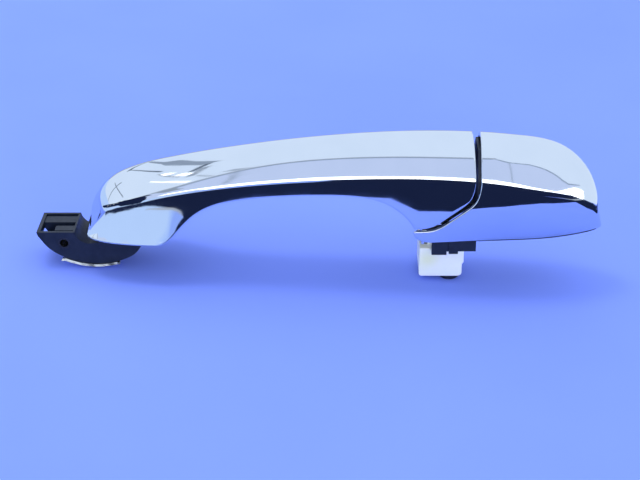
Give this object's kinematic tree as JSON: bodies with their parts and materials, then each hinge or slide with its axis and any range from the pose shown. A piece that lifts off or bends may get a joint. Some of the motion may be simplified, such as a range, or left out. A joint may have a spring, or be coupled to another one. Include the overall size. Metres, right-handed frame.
{
  "type": "car door handle",
  "caption": "Chrome strap-type exterior car door handle: an arched pull on a front hinge arm, a separate fixed rear cap, and the clamp block below it.",
  "frame": {"origin": "centre of the hinge bore in the front arm; the door skin's outer face is the plane z = 4.4 mm", "axes": "+X from the hinge to the fixed rear cap, +Y across the handle along the hinge bore, +Z out of the door"},
  "size_m": [0.2491, 0.0402, 0.0692],
  "materials": {
    "chrome": "bright plated plastic, mirror finish",
    "black_nylon": "moulded glass-filled nylon, fine grain",
    "black_liner": "moulded, satin",
    "white_nylon": "natural moulded nylon, satin",
    "white_acetal": "smooth natural acetal",
    "black_acetal": "smooth black acetal",
    "zinc_alloy": "die-cast zinc, as cast",
    "spring_steel": "bright rolled strip",
    "plated_steel": "zinc plated",
    "black_steel": "black oxide",
    "rubber": "moulded rubber",
    "foam": "closed-cell foam"
  },
  "bodies": {
    "cap": {"cap_shell": "chrome", "cap_base": "black_nylon", "cap_screws": "black_steel", "leg_seal": "rubber", "cap_gasket": "foam", "retainer_block": "white_nylon", "block_screw": "black_steel"},
    "pull": {"pull_outer_shell": "chrome", "grip_liner": "black_liner", "hinge_arm": "black_nylon", "arm_screws": "plated_steel", "hinge_bush": "black_acetal", "foot_plate": "zinc_alloy", "beam_screws": "plated_steel", "anti_rattle_spring": "spring_steel", "spring_rivet": "plated_steel", "core_beam": "black_nylon", "pull_leg": "zinc_alloy", "leg_screws": "plated_steel", "liner_screws": "black_steel", "leg_wear_pads": "white_acetal", "rear_bumpers": "rubber", "front_gasket": "foam"},
    "lock": {"cam_screw": "plated_steel", "lock_cam": "zinc_alloy"}
  },
  "joints": [
    {"name": "pull_hinge", "type": "hinge", "parent": "cap", "child": "pull", "pos_m": [0, 0, 0], "axis": [0, -1, 0], "range_deg": [0, 9]},
    {"name": "cam_turn", "type": "hinge", "parent": "cap", "child": "lock", "pos_m": [0.1735, 0.0036, -0.0071], "axis": [1, 0, 0], "range_deg": [0, 90]}
  ]
}
